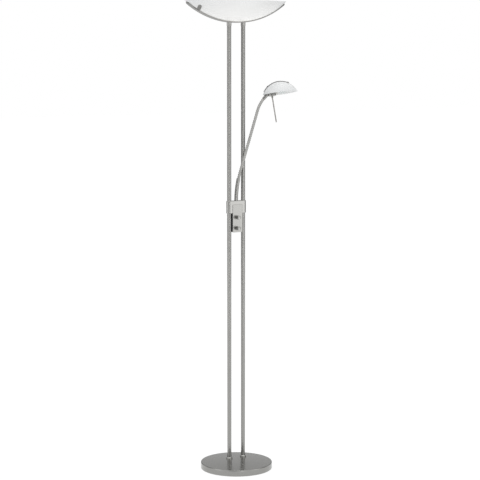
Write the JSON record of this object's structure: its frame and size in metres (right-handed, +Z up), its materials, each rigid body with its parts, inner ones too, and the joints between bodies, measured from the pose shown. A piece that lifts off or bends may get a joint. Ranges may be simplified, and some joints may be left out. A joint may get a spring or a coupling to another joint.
{
  "type": "torchiere floor lamp with reading light",
  "caption": "Floor lamp: disc base, twin poles, boat-shaped glass uplight on a bent strip, clamp block with dimmers, and a flexible arm with a small glass reading head.",
  "frame": {"origin": "middle of the base's flat underside, where the lamp rests", "axes": "+Z up along the poles; +X from the left pole to the right pole; +Y to the back, away from the knobs' faces"},
  "size_m": [0.4512, 0.2776, 1.8],
  "materials": {
    "satin_nickel": "satin nickel plate",
    "plated_steel": "zinc plate",
    "bright_aluminium": "bright",
    "grey_iron": "as cast",
    "black_plastic": "fine texture",
    "white_plastic": "gloss",
    "black_felt": "felt",
    "seal_rubber": "matte",
    "frosted_glass": "satin white",
    "clear_glass": "clear",
    "white_ceramic": "unglazed"
  },
  "bodies": {
    "stand": {"base_cover": "satin_nickel", "base_weight": "grey_iron", "base_pad": "black_felt", "cord_gland": "black_plastic", "foot_collars": "satin_nickel", "foot_nipples": "plated_steel", "pipe_nuts": "plated_steel", "pole_plugs": "plated_steel", "pole_lower_left": "satin_nickel", "pole_lower_right": "satin_nickel", "pole_upper_left": "satin_nickel", "pole_upper_right": "satin_nickel", "pole_couplers": "plated_steel", "block_rear": "satin_nickel", "block_front": "satin_nickel", "clamp_screws": "plated_steel", "terminal_block": "white_plastic", "front_panel": "satin_nickel", "dimmer_housing": "black_plastic", "dimmer_upper": "black_plastic", "dimmer_lower": "black_plastic", "dimmer_nuts": "plated_steel", "arm_nipple": "plated_steel", "arm_sleeve": "satin_nickel", "flex_root": "satin_nickel", "top_collars": "satin_nickel", "top_nipples": "plated_steel", "shade_strip": "satin_nickel", "shade_lugs": "satin_nickel", "shade_glass": "frosted_glass", "shade_seals": "seal_rubber", "lug_screws": "satin_nickel", "lug_nuts": "plated_steel", "lamp_frame": "plated_steel", "lamp_holders": "white_ceramic", "halogen_tube": "clear_glass", "reflector": "bright_aluminium"},
    "upper_knob": {"knob_upper": "satin_nickel", "spindle_upper": "bright_aluminium"},
    "lower_knob": {"knob_lower": "satin_nickel", "spindle_lower": "bright_aluminium"},
    "link_1": {"flex_link_1": "satin_nickel"},
    "link_2": {"flex_link_2": "satin_nickel"},
    "link_3": {"flex_link_3": "satin_nickel"},
    "link_4": {"flex_link_4": "satin_nickel"},
    "link_5": {"flex_link_5": "satin_nickel"},
    "link_6": {"flex_link_6": "satin_nickel"},
    "link_7": {"flex_link_7": "satin_nickel"},
    "link_8": {"flex_link_8": "satin_nickel"},
    "head": {"head_ferrule": "satin_nickel", "head_holder": "satin_nickel", "head_socket": "white_ceramic", "head_bulb": "clear_glass", "head_bracket": "plated_steel", "head_glass": "frosted_glass", "head_strip": "satin_nickel", "head_screws": "satin_nickel", "rod_ferrule": "satin_nickel", "glass_rod": "clear_glass"}
  },
  "joints": [
    {"name": "upper_knob_turn", "type": "hinge", "parent": "stand", "child": "upper_knob", "pos_m": [0.0255, 0.03, 0.973], "axis": [0, 1, 0], "range_deg": [0, 280]},
    {"name": "lower_knob_turn", "type": "hinge", "parent": "stand", "child": "lower_knob", "pos_m": [0.0255, 0.03, 0.931], "axis": [0, 1, 0], "range_deg": [0, 280]},
    {"name": "arm_bend", "type": "hinge", "parent": "stand", "child": "link_1", "pos_m": [0.03783, 0.0426, 1.13208], "axis": [0.515, 0.8572, 0], "range_deg": [-1.5, 9]},
    {"name": "arm_bend_2", "type": "hinge", "parent": "link_1", "child": "link_2", "pos_m": [0.0466, 0.03732, 1.16919], "axis": [0.515, 0.8572, 0], "range_deg": [-1.5, 9]},
    {"name": "arm_sway", "type": "hinge", "parent": "link_2", "child": "link_3", "pos_m": [0.05559, 0.03192, 1.20624], "axis": [0.8248, -0.4956, -0.2723], "range_deg": [-8, 10]},
    {"name": "arm_bend_3", "type": "hinge", "parent": "link_3", "child": "link_4", "pos_m": [0.06457, 0.02652, 1.24328], "axis": [0.515, 0.8572, 0], "range_deg": [-1.5, 9]},
    {"name": "arm_sway_2", "type": "hinge", "parent": "link_4", "child": "link_5", "pos_m": [0.07356, 0.02113, 1.28033], "axis": [0.8248, -0.4956, -0.2723], "range_deg": [-8, 10]},
    {"name": "arm_bend_4", "type": "hinge", "parent": "link_5", "child": "link_6", "pos_m": [0.08254, 0.01573, 1.31737], "axis": [0.515, 0.8572, 0], "range_deg": [-1.5, 9]},
    {"name": "arm_sway_3", "type": "hinge", "parent": "link_6", "child": "link_7", "pos_m": [0.09153, 0.01033, 1.35442], "axis": [0.8248, -0.4956, -0.2723], "range_deg": [-8, 10]},
    {"name": "arm_bend_5", "type": "hinge", "parent": "link_7", "child": "link_8", "pos_m": [0.10084, 0.00474, 1.39135], "axis": [0.515, 0.8572, 0], "range_deg": [-1.5, 9]},
    {"name": "arm_sway_4", "type": "hinge", "parent": "link_8", "child": "head", "pos_m": [0.11657, -0.00472, 1.42504], "axis": [0.6851, -0.4117, -0.6009], "range_deg": [-8, 10]}
  ]
}
